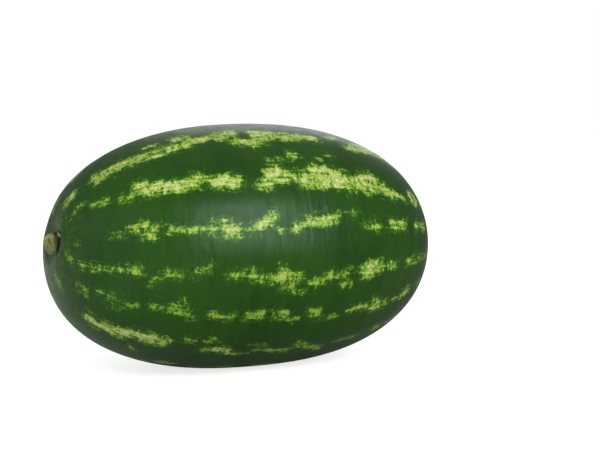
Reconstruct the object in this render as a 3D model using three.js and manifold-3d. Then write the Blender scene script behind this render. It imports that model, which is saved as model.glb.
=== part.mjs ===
// A whole watermelon of the long, striped kind, lying on its side as it was picked.
//
// Millimetres, +Z up. The stem end points to -X and the blossom end to +X. The origin lies on
// the surface that the fruit rests on, under the middle of its length and width.
//
// The fruit grew as one piece, so it is one solid. What is left of the stem is a piece of its
// own: a dry round stub, which stands in a socket in the dimple of the stem end.

import * as THREE from 'three';
import { mergeVertices } from 'three/addons/utils/BufferGeometryUtils.js';
import Module from 'manifold-3d';

// The fruit's body is an ellipsoid with full shoulders.
const LENGTH = 309;
const DIAMETER = 190;
const FULLNESS = 2.31; // 2 would be a plain ellipsoid
const SAG = 2.0; // how much lower both ends lie than a straight fruit's
const BLOSSOM_SWELL = 0.006; // the blossom half is thicker, and the stem half thinner, by this share
const LOBES = 16; // the stripes run on these very low lengthwise swellings
const LOBE_HEIGHT = 0.25;
const REST_SINK = 1.0; // how much of the round underside the resting flat takes off

// The stem end has a dimple, which lies above the fruit's axis and a little to the front of it,
// and runs out further upwards.
const STEM_LIFT = 10.5;
const DIMPLE_FRONT = 4;
const DIMPLE_RADIUS = 21;
const DIMPLE_REACH_UP = 33;
const DIMPLE_DEPTH = 5;

// Beside the dimple, up and to the back, the shoulder has sunk in a little.
const DENT_BACK = 30;
const DENT_UP = 29;
const DENT_RADIUS = 21;
const DENT_DEPTH = 1.7;

// The blossom end has a shallow hollow with a small button in it, where the flower dropped off.
const HOLLOW_RADIUS = 15;
const HOLLOW_DEPTH = 1.3;
const BUTTON_RADIUS = 6;
const BUTTON_HEIGHT = 1.8;

// The stub was cut close, and has dried. It droops a little from the fruit's axis, and is turned
// to the front.
const STUB_RADIUS = 8.6;
const STUB_HEIGHT = 5.6; // above the floor of the dimple
const STUB_ROOT = 2.0; // below the floor of the dimple
const STUB_ROUNDING = 2.4; // of the edge round its cut end
const CUT_DISH = 0.8; // how far the cut end has shrunk in at its middle
const STUB_DROOP = THREE.MathUtils.degToRad(6);
const STUB_TURN = THREE.MathUtils.degToRad(16);
const CLEARANCE = 0.35; // between the stub and its socket

// Fineness of the faceted solids.
const SIDES = 64;
const RINGS = 48;
const RING_CROWDING = 0.6; // rings lie closer together towards both ends
const STUB_SIDES = 40;

const HALF_LENGTH = LENGTH / 2;
const RADIUS = DIAMETER / 2;

// A smooth hump or hollow: 1 at its middle, 0 from its edge on.
function hump(distance, radius, steepness) {
  const inside = Math.max(0, 1 - (distance / radius) ** 2);
  return inside ** steepness;
}

// The skin's point that lies in a given direction from the middle of the fruit. The
// direction is a unit vector of a sphere whose first pole, at -X, is the stem's.
function skinPoint(direction) {
  const nearStem = (1 - direction.x) / 2;
  const point = direction.clone();
  point.z += (STEM_LIFT / HALF_LENGTH) * nearStem ** 3;

  const along = Math.abs(point.x) / HALF_LENGTH;
  const across = Math.hypot(point.y, point.z) / RADIUS;
  point.multiplyScalar((along ** FULLNESS + across ** FULLNESS) ** (-1 / FULLNESS));

  const bearing = Math.atan2(direction.z, -direction.y);
  const girth = Math.hypot(direction.y, direction.z);
  const lobe = LOBE_HEIGHT * girth ** 2 * Math.cos(LOBES * bearing);
  const swell = 1 + (BLOSSOM_SWELL * point.x) / HALF_LENGTH + lobe / RADIUS;
  point.y *= swell;
  point.z *= swell;

  if (direction.x < 0) {
    const above = point.z - STEM_LIFT;
    const reach = above > 0 ? DIMPLE_REACH_UP : DIMPLE_RADIUS;
    const fromStem = Math.hypot((point.y + DIMPLE_FRONT) / DIMPLE_RADIUS, above / reach);
    point.x += DIMPLE_DEPTH * hump(fromStem, 1, 3);
    const fromDent = Math.hypot(point.y - DENT_BACK, point.z - DENT_UP);
    point.x += DENT_DEPTH * hump(fromDent, DENT_RADIUS, 2);
  } else {
    const fromBlossom = Math.hypot(point.y, point.z);
    point.x -= HOLLOW_DEPTH * hump(fromBlossom, HOLLOW_RADIUS, 2);
    point.x += BUTTON_HEIGHT * hump(fromBlossom, BUTTON_RADIUS, 2);
  }
  point.z -= SAG * (point.x / HALF_LENGTH) ** 2;
  return point;
}

// Closed geometry of the fruit: a sphere laid on its side, whose points are moved to the skin.
function fruitSkin() {
  const geometry = new THREE.SphereGeometry(1, SIDES, RINGS);
  geometry.rotateZ(Math.PI / 2); // the sphere's top pole goes to the stem end
  const position = geometry.attributes.position;
  const direction = new THREE.Vector3();
  for (let i = 0; i < position.count; i += 1) {
    direction.fromBufferAttribute(position, i);
    const angle = Math.acos(THREE.MathUtils.clamp(-direction.x, -1, 1));
    const crowded = angle - (RING_CROWDING / 2) * Math.sin(2 * angle);
    const girth = Math.hypot(direction.y, direction.z);
    const stretch = girth > 1e-6 ? Math.sin(crowded) / girth : 0;
    direction.set(-Math.cos(crowded), direction.y * stretch, direction.z * stretch);
    const point = skinPoint(direction);
    position.setXYZ(i, point.x, point.y, point.z);
  }
  return geometry;
}

// Where the stub stands: on the floor of the dimple, pointing out of it.
function stemPlace() {
  const floor = skinPoint(new THREE.Vector3(-HALF_LENGTH, -DIMPLE_FRONT, 0).normalize());
  const layDown = new THREE.Matrix4().makeRotationZ(Math.PI / 2);
  const droop = new THREE.Matrix4().makeRotationY(-STUB_DROOP);
  const turn = new THREE.Matrix4().makeRotationZ(STUB_TURN);
  const place = new THREE.Matrix4().makeTranslation(floor.x, floor.y, floor.z);
  return place.multiply(turn).multiply(droop).multiply(layDown);
}

// The stub's own shape, upright on its root, with a rounded and slightly dished cut end.
function stubShape() {
  const top = STUB_ROOT + STUB_HEIGHT;
  const rim = STUB_RADIUS - STUB_ROUNDING;
  const outline = new THREE.Path();
  outline.moveTo(0, 0);
  outline.lineTo(STUB_RADIUS, 0);
  outline.lineTo(STUB_RADIUS, top - STUB_ROUNDING);
  outline.quadraticCurveTo(STUB_RADIUS, top, rim, top);
  outline.quadraticCurveTo(rim / 2, top - CUT_DISH, 0, top - CUT_DISH);
  const geometry = new THREE.LatheGeometry(outline.getPoints(5), STUB_SIDES);
  return geometry.translate(0, -STUB_ROOT, 0);
}

const wasm = await Module();
wasm.setup();

function toSolid(geometry) {
  const bare = geometry.clone();
  bare.deleteAttribute('normal');
  bare.deleteAttribute('uv');
  const merged = mergeVertices(bare, 1e-4);
  const mesh = new wasm.Mesh({
    numProp: 3,
    vertProperties: new Float32Array(merged.attributes.position.array),
    triVerts: new Uint32Array(merged.index.array),
  });
  return new wasm.Manifold(mesh);
}

function toGeometry(solid) {
  const mesh = solid.getMesh();
  const geometry = new THREE.BufferGeometry();
  geometry.setAttribute('position', new THREE.BufferAttribute(mesh.vertProperties, 3));
  geometry.setIndex(new THREE.BufferAttribute(mesh.triVerts, 1));
  geometry.computeVertexNormals();
  return geometry;
}

// The fruit, with its resting flat and the socket for the stub cut out of it.
function fruit() {
  const slab = new THREE.BoxGeometry(LENGTH, DIAMETER, DIAMETER);
  slab.translate(0, 0, REST_SINK - DIAMETER);

  const boreRadius = STUB_RADIUS + CLEARANCE;
  const boreDepth = STUB_ROOT + CLEARANCE;
  const bore = new THREE.CylinderGeometry(boreRadius, boreRadius, boreDepth + STUB_HEIGHT, STUB_SIDES);
  bore.translate(0, (STUB_HEIGHT - boreDepth) / 2, 0);
  bore.applyMatrix4(stemPlace());

  const solid = toSolid(fruitSkin()).subtract(toSolid(slab)).subtract(toSolid(bore));
  const skin = new THREE.MeshStandardMaterial({ color: 0x2f5a24, roughness: 0.42, metalness: 0 });
  const mesh = new THREE.Mesh(toGeometry(solid), skin);
  mesh.name = 'fruit';
  return mesh;
}

function stemStub() {
  const cork = new THREE.MeshStandardMaterial({ color: 0x7c7440, roughness: 0.85, metalness: 0 });
  const mesh = new THREE.Mesh(stubShape(), cork);
  mesh.name = 'stem_stub';
  mesh.applyMatrix4(stemPlace());
  return mesh;
}

// The group is moved so that the origin comes to lie under the middle of the fruit.
const watermelon = new THREE.Group();
watermelon.add(fruit(), stemStub());
const extent = new THREE.Box3().setFromObject(watermelon, true);
const middle = extent.getCenter(new THREE.Vector3());
watermelon.position.set(-middle.x, -middle.y, -extent.min.z);

export default watermelon;
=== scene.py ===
import math

import bpy
import numpy as np
from mathutils import Matrix, Vector


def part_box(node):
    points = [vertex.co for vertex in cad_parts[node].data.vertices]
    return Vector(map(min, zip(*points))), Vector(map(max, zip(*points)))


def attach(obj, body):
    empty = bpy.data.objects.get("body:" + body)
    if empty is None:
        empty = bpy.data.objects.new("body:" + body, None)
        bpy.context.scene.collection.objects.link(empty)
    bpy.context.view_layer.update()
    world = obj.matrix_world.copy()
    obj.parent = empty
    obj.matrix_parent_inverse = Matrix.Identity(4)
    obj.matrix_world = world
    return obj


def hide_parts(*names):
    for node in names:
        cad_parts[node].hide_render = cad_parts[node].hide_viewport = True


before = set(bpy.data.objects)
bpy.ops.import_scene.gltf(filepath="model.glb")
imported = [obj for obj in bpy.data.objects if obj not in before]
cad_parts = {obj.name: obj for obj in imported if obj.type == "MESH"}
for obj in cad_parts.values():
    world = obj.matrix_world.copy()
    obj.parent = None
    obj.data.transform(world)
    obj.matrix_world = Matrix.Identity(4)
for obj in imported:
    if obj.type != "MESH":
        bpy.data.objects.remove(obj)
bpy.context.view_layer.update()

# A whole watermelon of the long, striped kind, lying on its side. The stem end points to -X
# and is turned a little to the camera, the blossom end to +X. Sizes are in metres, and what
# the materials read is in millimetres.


# The camera stands in front of the fruit's stem half and looks a little down, through a long
# lens, so that the fruit fills the left of its view.
LENS = 0.0821
SENSOR = 0.036
CAMERA_YAW = math.radians(24.0)
CAMERA_PITCH = math.radians(5.66)
CAMERA_DISTANCE = 1.074
FRUIT_TO_THE_LEFT = 0.0468
FRUIT_BELOW = 0.0160
AIM_BELOW_MIDDLE = 0.0006
NEAREST_SEEN = 0.05
FARTHEST_SEEN = 50

camera_data = bpy.data.cameras.new("camera")
camera_data.lens = LENS * 1000
camera_data.sensor_width = SENSOR * 1000
camera_data.clip_start = NEAREST_SEEN
camera_data.clip_end = FARTHEST_SEEN
camera = bpy.data.objects.new("camera", camera_data)
bpy.context.scene.collection.objects.link(camera)
bpy.context.scene.camera = camera

ahead = Vector((
    math.sin(CAMERA_YAW) * math.cos(CAMERA_PITCH),
    math.cos(CAMERA_YAW) * math.cos(CAMERA_PITCH),
    -math.sin(CAMERA_PITCH),
))
to_the_right = Vector((math.cos(CAMERA_YAW), -math.sin(CAMERA_YAW), 0))
upwards = to_the_right.cross(ahead)
fruit_low, fruit_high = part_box("fruit")
fruit_middle = Vector((0, 0, (fruit_high[2] - fruit_low[2]) / 2 - AIM_BELOW_MIDDLE))
camera.location = (
    fruit_middle
    + FRUIT_TO_THE_LEFT * to_the_right
    + FRUIT_BELOW * upwards
    - CAMERA_DISTANCE * ahead
)
camera.rotation_euler = Matrix((to_the_right, upwards, -ahead)).transposed().to_euler()


# The fruit: rind, flesh and seeds grown as one. It is a full-shouldered ellipsoid on very low
# lengthwise swellings, with a dimple and a crevice at the stem, a shallow hollow with a corky
# button where the flower dropped off, and a small flat on which it lies free on the floor.
HALF_LENGTH = 0.1545
RADIUS = 0.095
REST_SINK = 0.001
HOLLOW_DEPTH = 0.0013
BUTTON_HEIGHT = 0.0018
BUTTON_RADIUS = 0.006
STEM_LIFT = 0.0105
DIMPLE_FRONT = 0.004
CREVICE_FRONT = 0.006
CREVICE_UP = 0.0025
CREVICE_RADIUS = 0.0115
CREVICE_WIDTH = 0.0037
CREVICE_BESIDE = 0.27  # the share of its depth that it keeps beside the stub, before the power
CREVICE_FADING = 5.0  # the power by which it runs out from the front of the stub to its back
# Where the painted glint lies: a small pale cream streak beside the stub.
FLECK_FRONT = 0.0182
FLECK_UP = 0.0080
FLECK_LENGTH = 0.0038  # it lies aslant: its reach along one diagonal, and along the other
FLECK_WIDTH = 0.0011
FIELD_SPOT_MIDDLE = (0.006, 0.008)
FIELD_SPOT_REACH = (0.062, 0.036, 0.030)
SIDES = 320
RINGS = 304

skin_sizes = {
    "Half length": HALF_LENGTH,
    "Radius": RADIUS,
    "Fullness": 2.31,
    "Sag of the ends": 0.002,
    "Swell of the blossom half": 0.006,
    "Lobes": 16.0,
    "Lobe height": 0.00025,
    "Sink at rest": REST_SINK,
    "Ring crowding": 0.7,
    "Stem lift": STEM_LIFT,
    "Dimple to the front": DIMPLE_FRONT,
    "Dimple radius": 0.021,
    "Dimple reach up": 0.033,
    "Dimple depth": 0.005,
    "Dent to the back": 0.030,
    "Dent up": 0.029,
    "Dent radius": 0.021,
    "Dent depth": 0.0017,
    "Crevice to the front": CREVICE_FRONT,
    "Crevice up": CREVICE_UP,
    "Crevice radius": CREVICE_RADIUS,
    "Crevice width": CREVICE_WIDTH,
    "Crevice depth": 0.0032,
    "Hollow radius": 0.015,
    "Hollow depth": HOLLOW_DEPTH,
    "Button radius": BUTTON_RADIUS,
    "Button height": BUTTON_HEIGHT,
}
blossom_tip = HALF_LENGTH + BUTTON_HEIGHT - HOLLOW_DEPTH
skin_middle = Vector((fruit_high[0] - blossom_tip, 0, RADIUS - REST_SINK))


def skin_tree():
    """The rule of the skin: a sphere laid on its side, each point moved out to the skin."""
    tree = bpy.data.node_groups.new("melon skin", "GeometryNodeTree")
    tree.is_modifier = True
    face = tree.interface
    face.new_socket("Geometry", in_out="OUTPUT", socket_type="NodeSocketGeometry")
    for name in ("Sides", "Rings"):
        face.new_socket(name, in_out="INPUT", socket_type="NodeSocketInt")
    for name in skin_sizes:
        face.new_socket(name, in_out="INPUT", socket_type="NodeSocketFloat")
    face.new_socket("Middle", in_out="INPUT", socket_type="NodeSocketVector")
    face.new_socket("Skin", in_out="INPUT", socket_type="NodeSocketMaterial")
    size = tree.nodes.new("NodeGroupInput").outputs

    def feed(socket, value):
        if isinstance(value, bpy.types.NodeSocket):
            tree.links.new(value, socket)
        else:
            socket.default_value = value

    def sum_up(operation, *values):
        node = tree.nodes.new("ShaderNodeMath")
        node.operation = operation
        for socket, value in zip(node.inputs, values):
            feed(socket, value)
        return node.outputs[0]

    def plus(a, b):
        return sum_up("ADD", a, b)

    def minus(a, b):
        return sum_up("SUBTRACT", a, b)

    def times(a, b):
        return sum_up("MULTIPLY", a, b)

    def over(a, b):
        return sum_up("DIVIDE", a, b)

    def power(a, b):
        return sum_up("POWER", a, b)

    def square(a):
        return times(a, a)

    def across(a, b):
        return sum_up("SQRT", plus(square(a), square(b)))

    def hump(distance, steepness):
        return power(sum_up("MAXIMUM", minus(1.0, square(distance)), 0.0), steepness)

    ball = tree.nodes.new("GeometryNodeMeshUVSphere")
    feed(ball.inputs["Segments"], size["Sides"])
    feed(ball.inputs["Rings"], size["Rings"])
    ball_point = tree.nodes.new("ShaderNodeSeparateXYZ")
    feed(ball_point.inputs[0], tree.nodes.new("GeometryNodeInputPosition").outputs[0])

    # The ball's top pole becomes the stem end, and its seam runs along the underside.
    angle = sum_up("ARCCOSINE", ball_point.outputs["Z"])
    crowding = times(size["Ring crowding"], sum_up("SINE", times(angle, 2.0)))
    angle = minus(angle, times(crowding, 0.5))
    girth = sum_up("SINE", angle)
    ball_girth = across(ball_point.outputs["X"], ball_point.outputs["Y"])
    stretch = over(girth, sum_up("MAXIMUM", ball_girth, 1e-6))
    x = times(sum_up("COSINE", angle), -1.0)
    y = times(times(ball_point.outputs["Y"], stretch), -1.0)
    z = times(times(ball_point.outputs["X"], stretch), -1.0)
    bearing = sum_up("ARCTAN2", z, times(y, -1.0))

    # The full-shouldered ellipsoid, with the stem's pole above its axis.
    near_stem = times(minus(1.0, x), 0.5)
    on_stem_half = sum_up("LESS_THAN", x, 0.0)
    z = plus(z, times(over(size["Stem lift"], size["Half length"]), power(near_stem, 3.0)))
    lengthwise = power(over(sum_up("ABSOLUTE", x), size["Half length"]), size["Fullness"])
    crosswise = power(over(across(y, z), size["Radius"]), size["Fullness"])
    reach = power(plus(lengthwise, crosswise), over(-1.0, size["Fullness"]))
    x = times(x, reach)
    axial = over(x, size["Half length"])
    lobe = times(square(girth), sum_up("COSINE", times(bearing, size["Lobes"])))
    lobe = over(times(lobe, size["Lobe height"]), size["Radius"])
    swell = plus(plus(1.0, times(size["Swell of the blossom half"], axial)), lobe)
    y = times(times(y, reach), swell)
    z = times(times(z, reach), swell)

    # What is sunk into the stem end: the dimple, the dent beside it, and a round crevice, which
    # is deepest in front of the stub and runs out behind it.
    above = minus(z, size["Stem lift"])
    is_above = sum_up("GREATER_THAN", above, 0.0)
    reach_up = minus(size["Dimple reach up"], size["Dimple radius"])
    dimple_reach = plus(size["Dimple radius"], times(is_above, reach_up))
    off_dimple = plus(y, size["Dimple to the front"])
    from_stem = across(over(off_dimple, size["Dimple radius"]), over(above, dimple_reach))
    sunk = times(size["Dimple depth"], hump(from_stem, 3.0))
    from_dent = across(minus(y, size["Dent to the back"]), minus(z, size["Dent up"]))
    dent = hump(over(from_dent, size["Dent radius"]), 2.0)
    sunk = plus(sunk, times(size["Dent depth"], dent))
    beside = plus(off_dimple, size["Crevice to the front"])
    above_crevice = minus(above, size["Crevice up"])
    off_middle = sum_up("MAXIMUM", across(beside, above_crevice), 1e-6)
    facing = sum_up("MAXIMUM", over(times(beside, -1.0), off_middle), -0.3)
    share = plus(CREVICE_BESIDE, times(facing, 1 - CREVICE_BESIDE))
    from_crevice = over(minus(off_middle, size["Crevice radius"]), size["Crevice width"])
    crevice = times(hump(from_crevice, 2.0), power(share, CREVICE_FADING))
    sunk = plus(sunk, times(size["Crevice depth"], crevice))

    # The blossom end's hollow, and the corky button in it.
    from_blossom = across(y, z)
    hollow = hump(over(from_blossom, size["Hollow radius"]), 2.0)
    button = hump(over(from_blossom, size["Button radius"]), 2.0)
    raised = times(size["Button height"], button)
    raised = minus(raised, times(size["Hollow depth"], hollow))
    off_stem_half = minus(1.0, on_stem_half)
    x = plus(x, plus(times(sunk, on_stem_half), times(raised, off_stem_half)))

    z = minus(z, times(size["Sag of the ends"], square(over(x, size["Half length"]))))
    z = sum_up("MAXIMUM", z, minus(size["Sink at rest"], size["Radius"]))

    place = tree.nodes.new("ShaderNodeCombineXYZ")
    for socket, value in zip(place.inputs, (x, y, z)):
        feed(socket, value)
    shift = tree.nodes.new("ShaderNodeVectorMath")
    feed(shift.inputs[0], place.outputs[0])
    feed(shift.inputs[1], size["Middle"])

    geometry = ball.outputs["Mesh"]
    kept = (
        ("OFBake", "FLOAT2", "CORNER", ball.outputs["UV Map"]),
        ("bearing", "FLOAT", "POINT", bearing),
        ("axial", "FLOAT", "POINT", axial),
    )
    for name, kind, domain, value in kept:
        store = tree.nodes.new("GeometryNodeStoreNamedAttribute")
        store.data_type = kind
        store.domain = domain
        store.inputs["Name"].default_value = name
        feed(store.inputs["Geometry"], geometry)
        feed(store.inputs["Value"], value)
        geometry = store.outputs[0]
    set_place = tree.nodes.new("GeometryNodeSetPosition")
    feed(set_place.inputs["Geometry"], geometry)
    feed(set_place.inputs["Position"], shift.outputs[0])
    smooth = tree.nodes.new("GeometryNodeSetShadeSmooth")
    feed(smooth.inputs["Geometry"], set_place.outputs[0])
    realize = tree.nodes.new("GeometryNodeRealizeInstances")
    feed(realize.inputs["Geometry"], smooth.outputs[0])
    paint = tree.nodes.new("GeometryNodeSetMaterial")
    feed(paint.inputs["Geometry"], realize.outputs[0])
    feed(paint.inputs["Material"], size["Skin"])
    feed(tree.nodes.new("NodeGroupOutput").inputs[0], paint.outputs[0])
    return tree


def grown_skin(material):
    """Runs the skin's rule once and gives it back as a plain mesh object."""
    seed = bpy.data.objects.new("skin rule", bpy.data.meshes.new("skin rule"))
    bpy.context.scene.collection.objects.link(seed)
    rule = seed.modifiers.new("skin", "NODES")
    rule.node_group = skin_tree()
    values = {"Sides": SIDES, "Rings": RINGS, **skin_sizes}
    values.update({"Middle": skin_middle, "Skin": material})
    for item in rule.node_group.interface.items_tree:
        if item.in_out == "INPUT":
            rule[item.identifier] = values[item.name]
    grown = seed.evaluated_get(bpy.context.evaluated_depsgraph_get())
    mesh = bpy.data.meshes.new_from_object(grown)
    mesh.name = "rind"
    bpy.data.objects.remove(seed)
    rind = bpy.data.objects.new("rind", mesh)
    bpy.context.scene.collection.objects.link(rind)
    return rind


# The stripes, as patches. Each is: from and to along the fruit, -1 at the stem end and 1 at
# the blossom end; its bearing at both ends, in degrees, 0 at the front and 90 at the top;
# its half width at both ends, in degrees; and how pale it is, from 0 to 1.
front_patches = (
    # the sixth stripe above the front, nearly on top
    (-0.965, -0.94, 45, 60, 3.0, 4.0, 0.4),
    (-0.945, -0.885, 62, 67, 5.5, 6.0, 0.85),
    (-0.82, -0.66, 63.5, 62.5, 5.0, 4.6, 0.95),
    (-0.81, -0.73, 60, 59, 4.0, 2.5, 0.6),
    (-0.68, -0.50, 62.5, 62, 4.4, 4.2, 0.9),
    (-0.58, -0.51, 71.5, 71, 2.6, 2.6, 0.6),
    (-0.51, -0.36, 63, 64.5, 4.2, 3.8, 0.9),
    (-0.42, -0.34, 71, 72, 4.0, 3.0, 0.8),
    (-0.37, -0.28, 65.5, 67, 3.6, 3.0, 0.85),
    (-0.28, -0.21, 67.5, 68, 2.6, 3.6, 0.8),
    (-0.22, -0.12, 68, 70, 6.5, 5.0, 0.9),
    (-0.17, -0.05, 61.5, 59.5, 3.2, 3.4, 0.75),
    (-0.07, 0.01, 60.5, 62.5, 3.2, 4.0, 0.8),
    (-0.04, 0.07, 68.5, 67, 4.8, 4.6, 0.95),
    (0.06, 0.20, 66, 65.5, 3.6, 4.0, 0.9),
    (0.19, 0.31, 66, 65, 3.6, 3.0, 0.85),
    (0.37, 0.43, 69, 70, 2.6, 2.6, 0.4),
    (0.44, 0.50, 61.5, 63, 2.0, 4.0, 0.7),
    (0.49, 0.60, 64, 68, 5.0, 7.0, 0.85),
    (0.58, 0.70, 69, 70, 7.0, 6.5, 0.85),
    (0.70, 0.80, 69, 68, 5.0, 3.0, 0.6),
    # islands between the stripes
    (-0.03, 0.05, 46.5, 47, 2.4, 2.4, 0.2),
    (0.095, 0.14, 50, 50, 3.6, 3.0, 0.55),
    (0.235, 0.255, 48, 48, 2.0, 2.0, 0.15),
    (0.295, 0.335, 51.5, 51.5, 2.0, 2.0, 0.15),
    # the broad pale stripe
    (-0.93, -0.90, 37, 42, 3.0, 3.4, 0.6),
    (-0.905, -0.855, 44, 42.5, 3.6, 3.0, 0.6),
    (-0.86, -0.77, 38.5, 36.5, 3.0, 2.6, 0.25),
    (-0.80, -0.69, 35.5, 34.5, 1.6, 1.4, 0.5),
    (-0.70, -0.65, 35, 36.5, 1.6, 2.0, 0.5),
    (-0.67, -0.60, 41, 40, 3.0, 3.0, 0.8),
    (-0.64, -0.54, 37, 38, 4.6, 4.0, 0.95),
    (-0.61, -0.57, 33.5, 33.5, 2.0, 2.0, 0.4),
    (-0.55, -0.38, 36, 37, 3.6, 3.6, 0.9),
    (-0.41, -0.33, 38.5, 37.5, 4.2, 3.4, 0.85),
    (-0.34, -0.195, 36.3, 35.7, 3.2, 3.4, 1.0),
    (-0.125, -0.03, 32.8, 36.5, 2.6, 4.0, 0.9),
    (-0.05, 0.06, 38.5, 38.5, 4.8, 4.2, 1.0),
    (-0.01, 0.03, 43.5, 44, 2.4, 1.8, 0.35),
    (0.04, 0.13, 38.5, 38, 2.4, 3.0, 0.75),
    (0.11, 0.23, 35, 36, 4.0, 5.0, 1.0),
    (0.19, 0.33, 38, 37.5, 6.4, 5.6, 1.0),
    (0.31, 0.42, 36.5, 35.5, 5.4, 4.8, 0.9),
    (0.31, 0.37, 42, 42, 1.8, 1.8, 0.2),
    (0.41, 0.48, 35.5, 36.5, 4.6, 6.0, 0.85),
    (0.46, 0.55, 36.5, 37.5, 7.0, 6.0, 0.9),
    (0.57, 0.64, 35, 32, 4.5, 4.0, 0.6),
    (0.65, 0.74, 33, 31, 3.2, 2.6, 0.6),
    # the stripe above the front
    (-0.932, -0.912, 7.5, 5.0, 3.2, 3.2, 0.2),
    (-0.80, -0.74, 10.7, 11, 1.8, 1.8, 0.3),
    (-0.72, -0.60, 14.5, 14, 2.6, 2.6, 0.5),
    (-0.70, -0.64, 16, 16, 2.0, 2.0, 0.6),
    (-0.62, -0.575, 15.5, 15.5, 1.8, 1.8, 0.4),
    (-0.665, -0.60, 10.6, 10.6, 1.4, 1.4, 0.5),
    (-0.56, -0.43, 12.5, 13, 1.9, 2.1, 0.55),
    (-0.42, -0.33, 13, 13, 1.9, 2.1, 0.6),
    (-0.345, -0.27, 16.5, 16.5, 1.8, 1.8, 0.7),
    (-0.32, -0.235, 13, 12.5, 3.4, 3.8, 0.85),
    (-0.25, -0.14, 12.3, 12.6, 1.7, 1.8, 0.6),
    (-0.16, -0.09, 13, 16, 2.0, 3.4, 0.7),
    (-0.105, -0.055, 16, 18.5, 3.0, 2.6, 0.85),
    (-0.08, -0.03, 15.5, 11.5, 2.8, 2.0, 0.7),
    (0.035, 0.13, 13, 15.5, 2.2, 2.8, 0.8),
    (0.10, 0.25, 15.7, 16.5, 3.0, 2.6, 0.85),
    (0.22, 0.28, 17.5, 18.5, 2.4, 2.2, 0.7),
    (0.32, 0.39, 19.5, 20.5, 2.0, 2.2, 0.4),
    (0.42, 0.52, 14.5, 13.5, 2.2, 2.2, 0.4),
    # the stripe below the front
    (-0.965, -0.93, -11, -11, 6.0, 5.0, 0.28),
    (-0.925, -0.86, -12.5, -11.5, 3.8, 2.8, 0.43),
    (-0.87, -0.77, -10.7, -9.5, 2.4, 2.4, 0.35),
    (-0.80, -0.675, -8.7, -8.5, 2.7, 3.0, 0.39),
    (-0.64, -0.56, -12, -9.7, 2.2, 2.2, 0.35),
    (-0.58, -0.50, -9.5, -8, 2.4, 2.0, 0.35),
    (-0.48, -0.38, -8, -4.5, 2.0, 2.6, 0.35),
    (-0.30, -0.15, -8, -7.5, 2.2, 2.2, 0.47),
    (-0.16, -0.04, -8.4, -9.2, 2.4, 2.6, 0.47),
    (-0.05, 0.07, -7.5, -9.5, 3.8, 2.8, 0.5),
    (-0.04, 0.04, -12, -13.5, 2.6, 2.0, 0.43),
    (0.02, 0.095, -14, -15.7, 1.8, 1.6, 0.47),
    (0.11, 0.20, -12.5, -9.7, 1.8, 2.0, 0.35),
    (0.19, 0.32, -9.5, -7.5, 2.8, 2.8, 0.35),
    (0.28, 0.35, -12.5, -14, 1.8, 1.8, 0.28),
    # the second stripe below
    (-0.93, -0.885, -33, -33, 4.0, 4.0, 0.24),
    (-0.85, -0.79, -27.5, -28, 2.6, 2.6, 0.02),
    (-0.82, -0.75, -31.5, -32, 2.8, 2.4, 0.09),
    (-0.76, -0.67, -29.5, -29, 2.0, 2.0, 0.06),
    (-0.63, -0.555, -27, -26.7, 1.9, 1.9, 0.24),
    (-0.56, -0.45, -26, -27, 3.0, 3.0, 0.35),
    (-0.515, -0.475, -23, -22.5, 2.6, 2.2, 0.32),
    (-0.47, -0.43, -29, -29.5, 1.4, 1.4, 0.2),
    (-0.375, -0.235, -28, -27.6, 2.0, 2.0, 0.35),
    (-0.20, -0.10, -27, -25.3, 2.6, 3.4, 0.32),
    (-0.07, 0.03, -25, -27.3, 3.2, 3.2, 0.35),
    (-0.01, 0.09, -28, -29.5, 2.6, 1.8, 0.35),
    (0.12, 0.19, -27, -27, 2.6, 2.4, 0.28),
    (0.195, 0.285, -30.5, -30.8, 1.7, 1.7, 0.28),
    # the third stripe below
    (-0.991, -0.966, -49.5, -54.5, 4.0, 4.0, 0.7),
    (-0.885, -0.79, -54, -53.5, 4.6, 5.0, 0.8),
    (-0.82, -0.70, -51.5, -51.5, 5.2, 5.6, 0.8),
    (-0.71, -0.60, -49.5, -49, 5.0, 4.6, 0.7),
    (-0.62, -0.525, -47.3, -48, 4.6, 4.2, 0.6),
    (-0.67, -0.63, -60.5, -63.5, 1.4, 1.2, 0.4),
    (-0.455, -0.385, -43.5, -43.5, 2.1, 2.1, 0.3),
    (-0.375, -0.31, -43.5, -42, 1.8, 2.8, 0.35),
    (-0.335, -0.29, -40, -43, 2.2, 2.8, 0.45),
    (-0.365, -0.215, -49, -49.6, 2.8, 2.6, 0.7),
    (-0.24, -0.11, -51.5, -52.3, 1.8, 1.6, 0.5),
    (-0.14, -0.04, -45.5, -46.5, 2.0, 1.8, 0.05),
    (-0.10, 0.09, -48.5, -51, 2.8, 2.2, 0.5),
    (0.12, 0.28, -47, -54, 2.8, 3.0, 0.4),
    # the fourth stripe below, towards the underside
    (-0.70, -0.53, -84, -77, 2.4, 2.4, 0.5),
)

# Each stripe's bearing, and where along it the listed patches end and drawn ones begin.
stripe_bearings = {
    66: 0.84, 36: 0.77, 15: 0.57, -8: 0.39, -28: 0.34, -50: 0.34,
    -71: -0.520, -95: -0.970, -116: -0.945, -138: -0.975, -160: -0.960,
    180: -0.970, 160: -0.950, 141: -0.975, 121: -0.955, 101: -0.970,
}
STRIPE_SEED = 41
DRAWN_WIDTH = (1.4, 3.2)  # half the width, in degrees
DRAWN_LENGTH = (8, 26)  # this and the next four in mm
DRAWN_GAP = (5, 15)
DRAWN_OVERLAP = 2
DRAWN_SHORTEST = 4
DRAWN_TIP = (11, 24)  # from a stripe's end to the blossom's tip
BROAD_CHANCE = 0.3
GAP_CHANCE = 0.45


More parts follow.
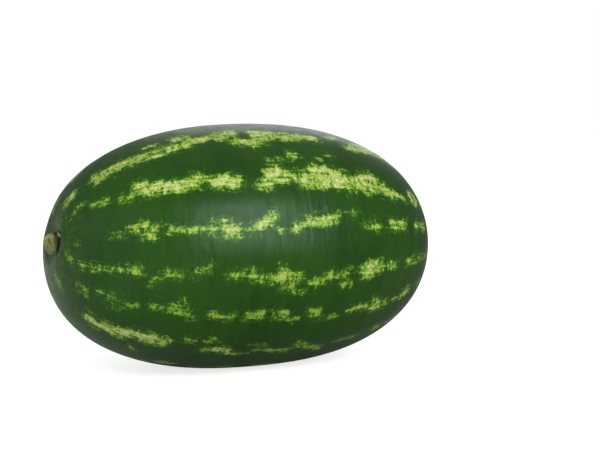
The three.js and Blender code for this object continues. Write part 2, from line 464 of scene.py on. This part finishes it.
def skin_lengths():
    """Places along the axis, and how far from the middle each lies along the skin, in mm."""
    slope = np.linspace(-math.pi / 2, math.pi / 2, 4001)
    share = 2 / skin_sizes["Fullness"]
    places = np.sign(slope) * np.abs(np.sin(slope)) ** share
    radii = np.cos(slope).clip(0) ** share
    steps = np.hypot(np.diff(places) * HALF_LENGTH, np.diff(radii) * RADIUS)
    lengths = np.concatenate([[0], np.cumsum(steps)]) * 1000
    return places, lengths - lengths[-1] / 2


def drawn_patches(places, lengths):
    """Patches of the same make along the stripes that were not laid by hand, lengths in mm."""
    chance = np.random.default_rng(STRIPE_SEED)
    patches = []
    for bearing, start in stripe_bearings.items():
        near_top = 0.5 + 0.5 * math.sin(math.radians(bearing))
        along = np.interp(start, places, lengths)
        last = lengths[-1] - chance.uniform(*DRAWN_TIP)
        drift = chance.uniform(-1, 1)
        while along < last - DRAWN_SHORTEST:
            width = chance.uniform(*DRAWN_WIDTH) * (1.0 + 0.8 * near_top * chance.random())
            if chance.random() < BROAD_CHANCE:
                width *= 1.5
            next_drift = 0.5 * drift + chance.uniform(-1.8, 1.8)
            end = min(along + chance.uniform(*DRAWN_LENGTH), last)
            tone = 0.4 + 0.5 * near_top + chance.uniform(-0.15, 0.15)
            patches.append((
                along, end, bearing + drift, bearing + next_drift,
                width, width * chance.uniform(0.6, 1.3), tone,
            ))
            drift = next_drift
            if chance.random() < GAP_CHANCE:
                along = end + chance.uniform(*DRAWN_GAP)
            else:
                along = end - DRAWN_OVERLAP
    return patches


def lay_stripes(mesh):
    """Writes on each point how deep it lies in a patch, in mm, and how pale the patch is.

    A patch has round ends, and is nowhere thinner than its stripe can be there. Where patches
    overlap, the one in which a point lies deepest gives most of the paleness.
    """
    count = len(mesh.vertices)
    bearing = np.empty(count)
    axial = np.empty(count)
    mesh.attributes["bearing"].data.foreach_get("value", bearing)
    mesh.attributes["axial"].data.foreach_get("value", axial)

    places, lengths = skin_lengths()
    fullness = skin_sizes["Fullness"]
    axial = axial.clip(-1, 1)
    along = np.interp(axial, places, lengths)
    radius = (1 - np.abs(axial) ** fullness).clip(0) ** (1 / fullness) * RADIUS * 1000
    narrowest = (0.8 + 0.05 * radius).clip(0, 2.3)
    rounding_radius = 45  # in mm, about half of the fruit's
    tone_reach = 1.5  # in mm
    laid = [(*np.interp(patch[:2], places, lengths), *patch[2:]) for patch in front_patches]
    depth = np.full(count, -30.0)  # far outside of any patch
    tone_sum = np.zeros(count)
    weight_sum = np.full(count, 1e-9)
    for start, end, from_b, to_b, from_w, to_w, tone in laid + drawn_patches(places, lengths):
        share = ((along - start) / (end - start)).clip(0, 1)
        middle = np.radians(from_b + (to_b - from_b) * share)
        half = np.radians(from_w + (to_w - from_w) * share) * radius
        half = np.maximum(half, narrowest)
        sideways = (bearing - middle + math.pi) % (2 * math.pi) - math.pi
        pulled = min(np.radians(max(from_w, to_w)) * rounding_radius, (end - start) / 2)
        past_end = along - along.clip(start + pulled, end - pulled)
        inside = half - np.hypot(sideways * radius, past_end)
        depth = np.maximum(depth, inside)
        weight = np.exp(inside.clip(-20, 20) / tone_reach)
        tone_sum += weight * tone
        weight_sum += weight
    write_on(mesh, "stripe", depth)
    write_on(mesh, "pale", tone_sum / weight_sum)
    return along, bearing, radius


def write_scars(mesh):
    """Writes how far each point is from each scar and from the painted glint, in mm or in shares
    of its size, and where the crevice's painted shade lies.
    """
    places = np.empty(len(mesh.vertices) * 3)
    mesh.vertices.foreach_get("co", places)
    x, y, z = (places.reshape(-1, 3) - np.array(skin_middle)).T
    sag = skin_sizes["Sag of the ends"]
    far = 400.0

    beside_stem = y + DIMPLE_FRONT
    above_stem = z + sag - STEM_LIFT
    beside_crevice = beside_stem + CREVICE_FRONT
    off_middle = np.hypot(beside_crevice, above_stem - CREVICE_UP) + 1e-9
    facing = (-beside_crevice / off_middle).clip(0)
    across_crevice = (off_middle - CREVICE_RADIUS) / CREVICE_WIDTH
    crevice = (1 - across_crevice ** 2).clip(0) * (0.10 + 0.90 * facing ** CREVICE_FADING)
    beside_fleck = y + FLECK_FRONT
    above_fleck = above_stem - FLECK_UP
    from_fleck = np.hypot(
        (beside_fleck + above_fleck) / FLECK_LENGTH,
        (beside_fleck - above_fleck) / FLECK_WIDTH,
    )
    write_on(mesh, "from stem", np.where(x < 0, np.hypot(beside_stem, above_stem) * 1000, far))
    write_on(mesh, "from crevice", np.where(x < 0, (off_middle - CREVICE_RADIUS) * 1000, far))
    write_on(mesh, "crevice", np.where(x < 0, crevice, 0))
    write_on(mesh, "from fleck", np.where(x < 0, from_fleck, far))
    write_on(mesh, "from blossom", np.where(x > 0, np.hypot(y, z + sag) * 1000, far))

    lengthwise = (x - FIELD_SPOT_MIDDLE[0]) / FIELD_SPOT_REACH[0]
    crosswise = (y - FIELD_SPOT_MIDDLE[1]) / FIELD_SPOT_REACH[1]
    upright = (z + RADIUS) / FIELD_SPOT_REACH[2]
    write_on(mesh, "from field spot", np.hypot(np.hypot(lengthwise, crosswise), upright))


def write_on(mesh, name, values):
    """Keeps one number for each point of a mesh, for its material to read."""
    layer = mesh.attributes.new(name, "FLOAT", "POINT")
    layer.data.foreach_set("value", values.astype(np.float32))


def write_places(mesh, name, places):
    layer = mesh.attributes.new(name, "FLOAT_VECTOR", "POINT")
    layer.data.foreach_set("vector", places.astype(np.float32).ravel())


class Finish:
    """A material, with a short way to write down each node of its tree."""

    def __init__(self, name):
        self.material = bpy.data.materials.new(name)
        self.material.use_nodes = True
        self.tree = self.material.node_tree
        self.shader = self.tree.nodes["Principled BSDF"]

    def feed(self, socket, value):
        if isinstance(value, bpy.types.NodeSocket):
            self.tree.links.new(value, socket)
        else:
            socket.default_value = value

    def own(self, name, vector=False):
        node = self.tree.nodes.new("ShaderNodeAttribute")
        node.attribute_name = name
        return node.outputs["Vector" if vector else "Fac"]

    def place(self):
        return self.tree.nodes.new("ShaderNodeTexCoord").outputs["Object"]

    def parts(self, vector):
        node = self.tree.nodes.new("ShaderNodeSeparateXYZ")
        self.feed(node.inputs[0], vector)
        return node.outputs

    def sums(self, operation, *values):
        node = self.tree.nodes.new("ShaderNodeMath")
        node.operation = operation
        for socket, value in zip(node.inputs, values):
            self.feed(socket, value)
        return node.outputs[0]

    def product(self, first, *others):
        for other in others:
            first = self.sums("MULTIPLY", first, other)
        return first

    def stretched(self, vector, scale):
        node = self.tree.nodes.new("ShaderNodeMapping")
        self.feed(node.inputs["Vector"], vector)
        node.inputs["Scale"].default_value = scale
        return node.outputs[0]

    def moved(self, vector, by, amount):
        node = self.tree.nodes.new("ShaderNodeVectorMath")
        node.operation = "MULTIPLY_ADD"
        self.feed(node.inputs[0], by)
        node.inputs[1].default_value = (amount,) * 3
        self.feed(node.inputs[2], vector)
        return node.outputs[0]

    def mottle(self, vector, scale, detail=2.0, roughness=0.5, coloured=False):
        """Soft noise, of a scale for all directions or of one for each."""
        if isinstance(scale, tuple):
            vector = self.stretched(vector, scale)
            scale = 1.0
        node = self.tree.nodes.new("ShaderNodeTexNoise")
        self.feed(node.inputs["Vector"], vector)
        node.inputs["Scale"].default_value = scale
        node.inputs["Detail"].default_value = detail
        node.inputs["Roughness"].default_value = roughness
        return node.outputs["Color" if coloured else "Fac"]

    def net(self, vector, scale):
        """How far a point is from the nearest crack in a net of them."""
        node = self.tree.nodes.new("ShaderNodeTexVoronoi")
        node.feature = "DISTANCE_TO_EDGE"
        self.feed(node.inputs["Vector"], vector)
        node.inputs["Scale"].default_value = scale
        return node.outputs["Distance"]

    def graded(self, value, low, high, to_low=0.0, to_high=1.0, kind="SMOOTHSTEP"):
        node = self.tree.nodes.new("ShaderNodeMapRange")
        node.interpolation_type = kind
        for name, amount in (
            ("Value", value), ("From Min", low), ("From Max", high),
            ("To Min", to_low), ("To Max", to_high),
        ):
            self.feed(node.inputs[name], amount)
        return node.outputs[0]

    def blend(self, share, first, second):
        node = self.tree.nodes.new("ShaderNodeMix")
        node.data_type = "RGBA"
        self.feed(node.inputs["Factor"], share)
        self.feed(node.inputs[6], first)
        self.feed(node.inputs[7], second)
        return node.outputs[2]

    def bump(self, height, distance):
        node = self.tree.nodes.new("ShaderNodeBump")
        self.feed(node.inputs["Height"], height)
        node.inputs["Distance"].default_value = distance
        self.feed(self.shader.inputs["Normal"], node.outputs[0])


WAX_SHEEN = 0.28
SKIN_RELIEF = 0.0006
GREEN_SHEEN = (0.80, 1.00, 0.87, 1)
DEEP_GREEN = (0.0150, 0.062, 0.0045, 1)
FRESH_GREEN = (0.0240, 0.088, 0.006, 1)
HALO_GREEN = (0.054, 0.172, 0.012, 1)
LEAF_GREEN = (0.170, 0.360, 0.020, 1)
YELLOW_GREEN = (0.430, 0.600, 0.090, 1)
CREAM = (0.720, 0.800, 0.390, 1)
WARM_CREAM = (0.690, 0.690, 0.330, 1)
SCAR_BROWN = (0.150, 0.110, 0.050, 1)
SCAR_GREY = (0.270, 0.255, 0.130, 1)
SCAR_DARK = (0.045, 0.030, 0.015, 1)
# painted shade, for the crevice and for the ring round the stub's root
PAINTED_CREVICE_SHADE = (0.009, 0.019, 0.004, 1)
DEAD_OLIVE = (0.055, 0.058, 0.018, 1)
# a painted glint beside the stub
PAINTED_GLINT_CREAM = (0.520, 0.560, 0.340, 1)
WRINKLE_OLIVE = (0.150, 0.200, 0.070, 1)
FIBRE_GREEN = (0.105, 0.180, 0.055, 1)
FIELD_YELLOW = (0.560, 0.520, 0.140, 1)
FIELD_CREAM = (0.700, 0.680, 0.300, 1)


def rind_finish():
    """Waxy dark green skin with lacy, frost-like stripes that fade out through a green net."""
    rind = Finish("rind")
    place = rind.stretched(rind.place(), (1000, 1000, 1000))
    lay = rind.own("lay", vector=True)
    depth = rind.own("stripe")
    pale = rind.own("pale")

    # Each patch breaks up into lace: its depth, in mm, is held low, so that the noises fray its
    # edge into spikes and open dark holes in its core. Veins and a net of cracks run through it.
    shaken = rind.moved(place, rind.mottle(place, 0.30, coloured=True), 3.0)
    lace = rind.sums("MINIMUM", rind.sums("SUBTRACT", depth, 1.4), 1.9)
    lace = rind.sums("ADD", lace, rind.graded(pale, 0.1, 1.0, -1.2, 0.7, kind="LINEAR"))
    for noise, height in (
        (rind.mottle(place, 0.10, detail=1), 7.0),
        (rind.mottle(lay, (0.36, 0.17, 0.17), detail=2), 8.0),
        (rind.mottle(lay, (0.06, 0.36, 0.36), detail=3), 10.0),
        (rind.mottle(shaken, 0.21, detail=3, roughness=0.55), 8.5),
    ):
        lace = rind.sums("MULTIPLY_ADD", rind.sums("SUBTRACT", noise, 0.5), height, lace)
    branch = rind.mottle(shaken, 0.26, detail=2, roughness=0.6)
    branch = rind.sums("ABSOLUTE", rind.sums("SUBTRACT", branch, 0.5))
    vein = rind.graded(branch, 0.0, 0.07, 1.8, -0.6)
    lace = rind.sums("ADD", lace, vein)
    crazed = rind.moved(place, rind.mottle(place, 0.55, coloured=True), 2.2)
    crazing = rind.net(crazed, 0.30)
    lace = rind.sums("ADD", lace, rind.graded(crazing, 0.0, 0.10, -1.4, 0.2))

    # The ground: dark, with slow changes, and faint fine streaks that run round the fruit.
    slow = rind.mottle(place, 0.018, detail=2)
    streaks = rind.mottle(lay, (0.16, 0.018, 0.018), detail=3)
    grain = rind.mottle(lay, (0.60, 0.14, 0.14), detail=3, roughness=0.6)
    ground_share = rind.sums("MULTIPLY_ADD", slow, 0.50, rind.product(streaks, 0.25))
    ground_share = rind.sums("MULTIPLY_ADD", grain, 0.25, ground_share)
    ground = rind.blend(rind.graded(ground_share, 0.38, 0.62), DEEP_GREEN, FRESH_GREEN)

    # The deeper in the lace, the paler: a green halo, leaf green, yellow green, then cream.
    skin = rind.blend(rind.graded(lace, -4.5, 0.2, 0.0, 0.85), ground, HALO_GREEN)
    skin = rind.blend(rind.graded(lace, -0.8, 0.5), skin, LEAF_GREEN)
    yellow = rind.product(
        rind.graded(lace, 0.4, 2.6),
        rind.graded(pale, 0.0, 0.6, 0.48, 1.0),
        rind.graded(crazing, 0.0, 0.06, 0.65, 1.0),
    )
    skin = rind.blend(yellow, skin, YELLOW_GREEN)
    cream = rind.product(
        rind.graded(lace, 2.5, 5.0),
        rind.graded(pale, 0.2, 0.8, 0.15, 1.0),
        rind.graded(crazing, 0.01, 0.09, 0.30, 1.0),
    )
    warm = rind.graded(rind.mottle(place, 0.04, detail=3), 0.46, 0.62)
    skin = rind.blend(cream, skin, rind.blend(warm, CREAM, WARM_CREAM))

    # The flower's scar: a corky button with rays and a dark middle, in a thin pale ring.
    flaky = rind.mottle(place, 0.9, detail=3)
    from_blossom = rind.own("from blossom")
    scar = rind.sums("MULTIPLY_ADD", flaky, 2.4, from_blossom)
    rays = rind.mottle(lay, (0.30, 0.050, 0.050), detail=3)
    rays = rind.sums("MULTIPLY_ADD", flaky, 0.5, rays)
    cork = rind.blend(rind.graded(rays, 0.55, 0.95), SCAR_GREY, SCAR_BROWN)
    cork = rind.blend(rind.graded(scar, 2.0, 3.4, 0.9, 0.0), cork, SCAR_DARK)
    pale_ring = rind.sums("MULTIPLY_ADD", rind.mottle(place, 0.35, detail=3), 9.0, from_blossom)
    pale_ring = rind.graded(pale_ring, 10.5, 13.5, 0.35, 0.0)
    skin = rind.blend(pale_ring, skin, YELLOW_GREEN)
    skin = rind.blend(rind.graded(scar, 6.0, 7.4, 1.0, 0.0), skin, cork)

    # Round the stub: pale fibres that spread from it, faint broken wrinkles further out, dead
    # skin up to the crevice and in it, painted shade in a thin ring at the stub's root and in the
    # crevice, and a small pale cream streak beside it, which is a painted glint.
    from_stem = rind.own("from stem")
    fibres = rind.mottle(lay, (0.05, 0.30, 0.30), detail=4, roughness=0.6)
    fibres = rind.sums("MULTIPLY_ADD", rind.mottle(place, 0.16, detail=2), 0.5, fibres)
    fibres = rind.product(
        rind.graded(fibres, 0.66, 0.94, 0.12, 0.65),
        rind.graded(from_stem, 16, 54, 1.0, 0.0),
    )
    skin = rind.blend(fibres, skin, FIBRE_GREEN)
    waver = rind.mottle(place, 0.10, detail=3, roughness=0.6)
    wrinkled = rind.sums("MULTIPLY_ADD", waver, 12.0, from_stem)
    wrinkle = rind.product(
        rind.graded(rind.sums("PINGPONG", wrinkled, 2.9), 0.0, 0.5, 0.8, 0.0),
        rind.graded(wrinkled, 24, 27),
        rind.graded(wrinkled, 33, 38, 1.0, 0.0),
        rind.graded(rind.mottle(place, 0.07), 0.42, 0.60),
    )
    skin = rind.blend(wrinkle, skin, WRINKLE_OLIVE)
    dead = rind.sums("MULTIPLY_ADD", flaky, 4.0, rind.own("from crevice"))
    dead = rind.product(
        rind.graded(dead, 0.0, 2.8, 1.0, 0.0),
        rind.graded(flaky, 0.3, 0.7, 0.60, 0.95),
    )
    skin = rind.blend(dead, skin, DEAD_OLIVE)
    # Painted shade: a dark ring round the stub's root, where the skin meets it.
    painted_root_shade = rind.sums("MULTIPLY_ADD", flaky, 1.6, from_stem)
    skin = rind.blend(rind.graded(painted_root_shade, 9.2, 10.4, 0.7, 0.0), skin, PAINTED_CREVICE_SHADE)
    # Painted shade in the crevice, darkest in front of the stub.
    crevice = rind.own("crevice")
    skin = rind.blend(rind.graded(crevice, 0.05, 0.45, 0.0, 0.92), skin, PAINTED_CREVICE_SHADE)
    # Painted highlight: a small pale cream streak beside the stub, put in as a glint.
    painted_glint = rind.sums("MULTIPLY_ADD", flaky, 0.6, rind.own("from fleck"))
    skin = rind.blend(rind.graded(painted_glint, 0.9, 1.4, 0.85, 0.0), skin, PAINTED_GLINT_CREAM)

    # The pale spot underneath, where the fruit lay on the ground. The stripes show through.
    lain = rind.own("from field spot")
    lain = rind.sums("MULTIPLY_ADD", rind.mottle(place, 0.06, detail=4), 0.6, lain)
    lain = rind.sums("MULTIPLY_ADD", rind.mottle(place, 0.30, detail=3), 0.4, lain)
    lain_colour = rind.blend(rind.graded(lace, -2.0, 3.0), FIELD_YELLOW, FIELD_CREAM)
    skin = rind.blend(rind.graded(lain, 1.05, 1.55, 0.88, 0.0), skin, lain_colour)
    rind.feed(rind.shader.inputs["Base Color"], skin)
    rind.shader.inputs["Specular IOR Level"].default_value = WAX_SHEEN
    rind.shader.inputs["Specular Tint"].default_value = GREEN_SHEEN

    # Wax gives a soft shine, broken by low waves and ripples. The scars are dry and rough.
    shine = rind.graded(rind.mottle(place, 0.12, detail=3), 0.3, 0.7, 0.29, 0.37)
    shine = rind.sums("MAXIMUM", shine, rind.graded(scar, 6.0, 9.0, 0.8, 0.0))
    shine = rind.sums("MAXIMUM", shine, rind.graded(crevice, 0.05, 0.30, 0.0, 0.9))
    rind.feed(rind.shader.inputs["Roughness"], shine)
    waves = rind.mottle(lay, (0.10, 0.02, 0.02), detail=2)
    ripples = rind.mottle(lay, (0.42, 0.045, 0.045), detail=2)
    relief = rind.sums("MULTIPLY_ADD", rind.mottle(place, 0.55, detail=2), 0.10, waves)
    relief = rind.sums("MULTIPLY_ADD", ripples, 0.16, relief)
    scar_height = rind.graded(scar, 6.0, 8.0, 1.6, 0.0)
    scar_relief = rind.product(scar_height, rind.sums("ADD", rays, flaky))
    rind.bump(rind.sums("ADD", relief, scar_relief), SKIN_RELIEF)
    return rind.material


rind = grown_skin(rind_finish())
along, bearing, radius = lay_stripes(rind.data)
around = np.stack([along, RADIUS * 1000 * np.cos(bearing), RADIUS * 1000 * np.sin(bearing)], 1)
write_places(rind.data, "lay", around)
write_scars(rind.data)
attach(rind, "root")
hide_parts("fruit")


# The stem's stub: a dry, corky plug that the vine was cut from. It stands in the dimple, grown
# fast to the flesh at its root, behind a narrow crevice. Its cut end has shrunk and cracked.
STUB_RADIUS = 0.0086
STUB_ROOT = 0.0020
STUB_HEIGHT = 0.0056
STUB_ROUNDING = 0.0026
STUB_DROOP = math.radians(6)
STUB_TURN = math.radians(16)
STUB_RIBS = 11
RIB_DEPTH = 0.00022
WOBBLE_DEPTH = 0.00010
WALL_AT_ROOT = 0.985  # of the radius
WALL_AT_RIM = 0.95
CUT_SINK = 0.0001
CUT_DISH = 0.0008
CUT_RIPPLE = 0.00018
CUT_UNEVEN = 0.00012
CUT_FROM = 0.004
STUB_SIDES = 160
WALL_RINGS = 15
ROUNDING_RINGS = 12
CUT_RINGS = 21
STUB_SEED = 7

# The stub's own directions, and where its middle line meets the floor of the dimple: the
# far edge of its root gives its solid's box three of its sides.
inward = Vector((
    math.cos(STUB_TURN) * math.cos(STUB_DROOP),
    math.sin(STUB_TURN) * math.cos(STUB_DROOP),
    math.sin(STUB_DROOP),
))
across_stub = inward.cross(Vector((0, 0, 1))).normalized()
up_stub = across_stub.cross(inward)
stub_floor = Vector(
    high - STUB_ROOT * part - STUB_RADIUS * math.sqrt(1 - part ** 2)
    for high, part in zip(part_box("stem_stub")[1], inward)
)


def stub_mesh():
    """The stub as rings round its axis, from the root out to the middle of the cut end."""
    chance = np.random.default_rng(STUB_SEED)
    rings = []  # radius, height above the dimple's floor, share of the ribs
    for step in range(WALL_RINGS):
        share = step / (WALL_RINGS - 1)
        height = -STUB_ROOT + share * (STUB_ROOT + STUB_HEIGHT - STUB_ROUNDING)
        wall = WALL_AT_ROOT + (WALL_AT_RIM - WALL_AT_ROOT) * share
        rings.append((STUB_RADIUS * wall, height, 0.4 + 0.6 * share))
    for step in range(1, ROUNDING_RINGS + 1):
        share = step / ROUNDING_RINGS
        turn = share * math.pi / 2
        drawn_in = STUB_ROUNDING * (1 - math.cos(turn))
        height = STUB_HEIGHT - STUB_ROUNDING * (1 - math.sin(turn))
        rings.append((STUB_RADIUS * WALL_AT_RIM - drawn_in, height, 1.0 - 0.5 * share))
    rim = rings[-1][0]
    for step in range(1, CUT_RINGS + 1):
        share = 1 - step / (CUT_RINGS + 1)
        dish = CUT_DISH * (1 - share ** 2) + CUT_RIPPLE * math.sin(share * 26)
        rings.append((rim * share, STUB_HEIGHT - dish - CUT_SINK, 0.5 * share))

    turns = np.linspace(0, 2 * math.pi, STUB_SIDES, endpoint=False)
    ribs = np.cos(STUB_RIBS * turns + 0.8 * np.sin(2 * turns))
    shape = 0.020 * np.cos(2 * turns + 1) + 0.012 * np.cos(3 * turns + 2)
    wobble = np.zeros(STUB_SIDES)
    for waves in range(4, 24):
        wobble += chance.uniform(-1, 1) * np.cos(waves * turns + chance.uniform(0, 6)) / waves
    grooves = RIB_DEPTH * (1 - ribs) + WOBBLE_DEPTH * wobble
    points, cuts = [], []  # each point's place, and its place in the stub's own directions in mm
    for radius, height, rib_share in rings:
        pressed = radius * (1 - 0.030 + shape) - rib_share * grooves
        pressed = np.minimum(pressed, STUB_RADIUS).clip(0.00005)
        uneven = height + CUT_UNEVEN * np.cos(5 * turns + height * 900) * (height > CUT_FROM)
        for across, up, out in zip(pressed * np.cos(turns), pressed * np.sin(turns), uneven):
            lifted = stub_floor - float(out) * inward
            points.append(lifted + float(across) * across_stub + float(up) * up_stub)
            cuts.append((across * 1000, up * 1000, out * 1000))
    faces = []
    for ring in range(len(rings) - 1):
        for side in range(STUB_SIDES):
            following = (side + 1) % STUB_SIDES
            a, b = ring * STUB_SIDES + side, ring * STUB_SIDES + following
            faces.append((a, b, b + STUB_SIDES, a + STUB_SIDES))
    root, top = len(points), len(points) + 1
    top_height = STUB_HEIGHT - CUT_DISH - CUT_SINK
    points += [stub_floor + STUB_ROOT * inward, stub_floor - top_height * inward]
    cuts += [(0, 0, -1000 * STUB_ROOT), (0, 0, 1000 * top_height)]
    last = (len(rings) - 1) * STUB_SIDES
    for side in range(STUB_SIDES):
        following = (side + 1) % STUB_SIDES
        faces.append((root, following, side))
        faces.append((top, last + side, last + following))
    mesh = bpy.data.meshes.new("cut_stub")
    mesh.from_pydata(points, [], faces)
    mesh.shade_smooth()
    write_places(mesh, "cut", np.array(cuts))
    return mesh


PITH_ACROSS = 1.6  # from the middle of the cut end, in mm
PITH_UP = 3.2
CORK_SHEEN = 0.25
CORK_RELIEF = 0.0004
CORK_OLIVE = (0.420, 0.440, 0.118, 1)
CORK_GREEN = (0.245, 0.325, 0.073, 1)
CORK_EDGE = (0.800, 0.840, 0.600, 1)
# painted shade on the stub's lower side and on its side towards the crevice
PAINTED_CORK_SHADE = (0.120, 0.180, 0.040, 1)
CORK_OCHRE = (0.400, 0.290, 0.080, 1)
CORK_BROWN = (0.110, 0.060, 0.022, 1)
# the cracks' colour, which also paints shade at the stub's root
CORK_CRACK_AND_SHADE = (0.045, 0.032, 0.012, 1)


def stub_finish():
    """Dry olive cork: pale along the cut edge, ochre in the middle, with a few dark cracks and
    painted shade.
    """
    cork = Finish("stem stub")
    cut = cork.own("cut", vector=True)
    across, up, height = cork.parts(cut)
    radius = cork.sums("MULTIPLY_ADD", up, up, cork.product(across, across))
    radius = cork.sums("SQRT", radius)
    on_cut = cork.graded(height, 3.8, 4.8)
    patches = cork.mottle(cut, 0.26, detail=3)
    grain = cork.mottle(cut, (1.3, 1.3, 0.35), detail=4, roughness=0.6)
    colour = cork.blend(cork.graded(patches, 0.40, 0.60), CORK_OLIVE, CORK_GREEN)
    colour = cork.blend(cork.graded(grain, 0.52, 0.70, 0.0, 0.55), colour, CORK_EDGE)

    # Painted shade: it is darker and greener below and towards the crevice, the side the light
    # does not reach. Its rim is dry and pale, a paleness painted strongest on the lit left side.
    shaded_below = cork.graded(up, -5.5, -0.5, 0.75, 0.0)
    shaded = cork.sums("MAXIMUM", shaded_below, cork.graded(across, 2.5, 6.5, 0.0, 0.7))
    colour = cork.blend(shaded, colour, PAINTED_CORK_SHADE)

    frayed = cork.sums("MULTIPLY_ADD", cork.sums("SUBTRACT", patches, 0.5), 3.0, radius)
    edge = cork.product(
        cork.graded(frayed, 5.0, 6.6),
        cork.graded(height, 2.0, 3.4),
        cork.graded(across, -4.5, 2.5, 1.0, 0.08),
    )
    colour = cork.blend(edge, colour, CORK_EDGE)

    # The cut end has an ochre heart and, off its middle, the brown pith.
    heart = cork.graded(cork.sums("MULTIPLY_ADD", grain, 2.5, radius), 3.0, 6.0, 0.55, 0.0)
    colour = cork.blend(cork.product(heart, on_cut), colour, CORK_OCHRE)
    pith_across = cork.sums("SUBTRACT", across, PITH_ACROSS)
    pith_up = cork.sums("SUBTRACT", up, PITH_UP)
    pith = cork.product(pith_across, pith_across)
    pith = cork.sums("SQRT", cork.sums("MULTIPLY_ADD", pith_up, pith_up, pith))
    pith = cork.graded(cork.sums("MULTIPLY_ADD", grain, 2.0, pith), 1.8, 4.0, 0.8, 0.0)
    colour = cork.blend(cork.product(pith, on_cut), colour, CORK_BROWN)

    bent = cork.moved(cut, cork.mottle(cut, 0.5, coloured=True), 2.2)
    crack = cork.net(cork.stretched(bent, (0.26, 0.26, 0.10)), 1.0)
    crack = cork.graded(crack, 0.0, 0.05, 1.0, 0.0)
    colour = cork.blend(cork.product(crack, 0.60), colour, CORK_CRACK_AND_SHADE)
    # Painted shade near the root, where the stub sits down in the dimple.
    colour = cork.blend(cork.graded(height, 0.2, 2.4, 0.9, 0.0), colour, CORK_CRACK_AND_SHADE)
    cork.feed(cork.shader.inputs["Base Color"], colour)
    cork.shader.inputs["Specular IOR Level"].default_value = CORK_SHEEN
    cork.feed(cork.shader.inputs["Roughness"], cork.graded(grain, 0.3, 0.7, 0.62, 0.85))
    cork.bump(cork.sums("MULTIPLY_ADD", crack, -0.5, grain), CORK_RELIEF)
    return cork.material


stub = bpy.data.objects.new("cut_stub", stub_mesh())
stub.data.materials.append(stub_finish())
bpy.context.scene.collection.objects.link(stub)
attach(stub, "root")
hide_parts("stem_stub")


# The floor: a wide sheet of white paper that the fruit lies on. To the camera it is as white
# as the room. To the fruit it is greyer, and glows a little on the left, as if lit there.
FLOOR = 6.0
SEEN_GLOW = 0.74
LEFT_GLOW = 0.33
LEFT_FROM = -0.25
GREY_TO_FRUIT = 0.45


def paper_finish():
    """Matt white paper: evenly white to the camera, greyer to the fruit, with a painted glow on
    its left.
    """
    paper = Finish("white paper")
    seen = paper.tree.nodes.new("ShaderNodeLightPath").outputs["Is Camera Ray"]
    white = paper.graded(seen, 0.0, 1.0, GREY_TO_FRUIT, 1.0, kind="LINEAR")
    left = paper.graded(paper.parts(paper.place())["X"], LEFT_FROM, 0.0, LEFT_GLOW, 0.0)
    glow = paper.sums("MAXIMUM", left, paper.product(seen, SEEN_GLOW))
    paper.feed(paper.shader.inputs["Base Color"], white)
    paper.feed(paper.shader.inputs["Emission Strength"], glow)
    paper.shader.inputs["Emission Color"].default_value = (1, 1, 1, 1)
    paper.shader.inputs["Roughness"].default_value = 0.9
    paper.shader.inputs["Specular IOR Level"].default_value = 0.0
    return paper.material


floor_mesh = bpy.data.meshes.new("floor")
corners = [(-FLOOR, -FLOOR, 0), (FLOOR, -FLOOR, 0), (FLOOR, FLOOR, 0), (-FLOOR, FLOOR, 0)]
floor_mesh.from_pydata(corners, [], [(0, 1, 2, 3)])
floor_mesh.materials.append(paper_finish())
floor = bpy.data.objects.new("floor", floor_mesh)
bpy.context.scene.collection.objects.link(floor)


# The light: three wide, soft lamps round the fruit. The strongest stands in front, to the
# right of the camera, a broad weak one to the left, and a faint one hangs overhead.
LIT_PLACE = Vector((0, 0, 0.1))  # what they all point at
lamps = {
    # where it is, its width and height, and its power in watts
    "front light": ((0.36, -1.66, 1.00), (1.1, 1.35), 23),
    "left light": ((-1.75, -0.70, 0.95), (2.6, 1.9), 9.3),
    "top light": ((-0.2, 0.5, 2.2), (2.2, 2.2), 1.5),
}
for name, (place, size, power) in lamps.items():
    lamp = bpy.data.lights.new(name, "AREA")
    lamp.shape = "RECTANGLE"
    lamp.size, lamp.size_y = size
    lamp.energy = power
    light = bpy.data.objects.new(name, lamp)
    light.location = place
    light.rotation_euler = (LIT_PLACE - Vector(place)).to_track_quat("-Z", "Y").to_euler()
    bpy.context.scene.collection.objects.link(light)


# The room: white where the camera sees it, and dim for the fruit, but for a bright window
# behind it, which lights its top and its right edge.
WINDOW_DIRECTION = (0.44, 0.81, 0.38)
WINDOW_EDGE = (0.94, 0.99)  # the cosine of the angle to its middle, where it begins and is full
ROOM_LIGHT = 0.30
WINDOW_LIGHT = 1.60

world = bpy.data.worlds.new("room")
bpy.context.scene.world = world
world.use_nodes = True
air = world.node_tree
air.nodes.clear()
towards = air.nodes.new("ShaderNodeTexCoord")
likeness = air.nodes.new("ShaderNodeVectorMath")
likeness.operation = "DOT_PRODUCT"
likeness.inputs[1].default_value = WINDOW_DIRECTION
window = air.nodes.new("ShaderNodeMapRange")
window.interpolation_type = "SMOOTHSTEP"
window.inputs["From Min"].default_value = WINDOW_EDGE[0]
window.inputs["From Max"].default_value = WINDOW_EDGE[1]
window.inputs["To Min"].default_value = ROOM_LIGHT
window.inputs["To Max"].default_value = WINDOW_LIGHT
dim_room = air.nodes.new("ShaderNodeBackground")
white_room = air.nodes.new("ShaderNodeBackground")
white_room.inputs["Color"].default_value = (1, 1, 1, 1)
ray = air.nodes.new("ShaderNodeLightPath")
choice = air.nodes.new("ShaderNodeMixShader")
output = air.nodes.new("ShaderNodeOutputWorld")
air.links.new(towards.outputs["Generated"], likeness.inputs[0])
air.links.new(likeness.outputs["Value"], window.inputs["Value"])
air.links.new(window.outputs[0], dim_room.inputs["Strength"])
air.links.new(ray.outputs["Is Camera Ray"], choice.inputs[0])
air.links.new(dim_room.outputs[0], choice.inputs[1])
air.links.new(white_room.outputs[0], choice.inputs[2])
air.links.new(choice.outputs[0], output.inputs["Surface"])

bpy.context.scene.view_settings.view_transform = "Standard"
